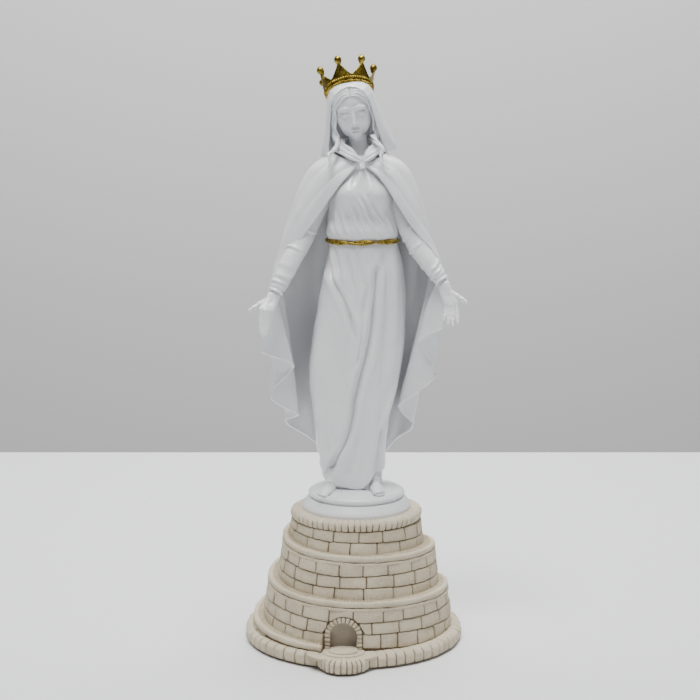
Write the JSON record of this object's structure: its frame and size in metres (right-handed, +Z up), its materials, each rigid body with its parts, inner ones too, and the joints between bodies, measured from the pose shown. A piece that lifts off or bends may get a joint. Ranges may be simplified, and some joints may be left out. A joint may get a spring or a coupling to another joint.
{
  "type": "madonna statue",
  "caption": "Crowned draped figure with open hands on a round plinth, standing on a stone tower with an outside stair and a doorway; the gilt crown lifts off.",
  "frame": {"origin": "centre of the round foot on its underside, where the felt meets the shelf", "axes": "+Z up, -Y towards the front that the figure and the doorway face, +X towards the figure's own left"},
  "size_m": [0.1561, 0.1685, 0.4134],
  "materials": {
    "tower_stone": "matt cast stone with a brown wash in the joints",
    "recess_paint": "matt grey-brown",
    "white_enamel": "satin white enamel on cast resin",
    "gilt_metal": "antique gold",
    "gold_paint": "antique gold paint",
    "zinc_steel": "zinc plated",
    "felt": "brown felt",
    "hardboard": "plain hardboard"
  },
  "bodies": {
    "statue": {"felt_pad": "felt", "bottom_plate": "hardboard", "plate_screws": "zinc_steel", "base_rim": "tower_stone", "tower_body": "tower_stone", "stair_kerb": "tower_stone", "arch_surround": "tower_stone", "niche_panel": "recess_paint", "doorstep": "tower_stone", "top_coping": "tower_stone", "fixing_rod": "zinc_steel", "rod_nut": "zinc_steel", "rod_washer": "zinc_steel", "plinth_lower": "white_enamel", "plinth_upper": "white_enamel", "skirt": "white_enamel", "bodice": "white_enamel", "belt_cord": "gold_paint", "mantle": "white_enamel", "collar": "white_enamel", "veil": "white_enamel", "head": "white_enamel", "hair": "white_enamel", "right_lock": "white_enamel", "left_lock": "white_enamel", "right_sleeve": "white_enamel", "left_sleeve": "white_enamel", "right_hand": "white_enamel", "left_hand": "white_enamel", "hand_pins": "zinc_steel", "right_foot": "white_enamel", "left_foot": "white_enamel"},
    "crown": {"crown_band": "gilt_metal", "crown_points": "gilt_metal", "crown_balls": "gilt_metal", "crown_beading": "gilt_metal", "crown_pin": "gilt_metal"}
  },
  "joints": [
    {"name": "crown_lift", "type": "slide", "parent": "statue", "child": "crown", "axis": [-0.1385, 0.515, 0.8459], "range_m": [0, 0.03]}
  ]
}
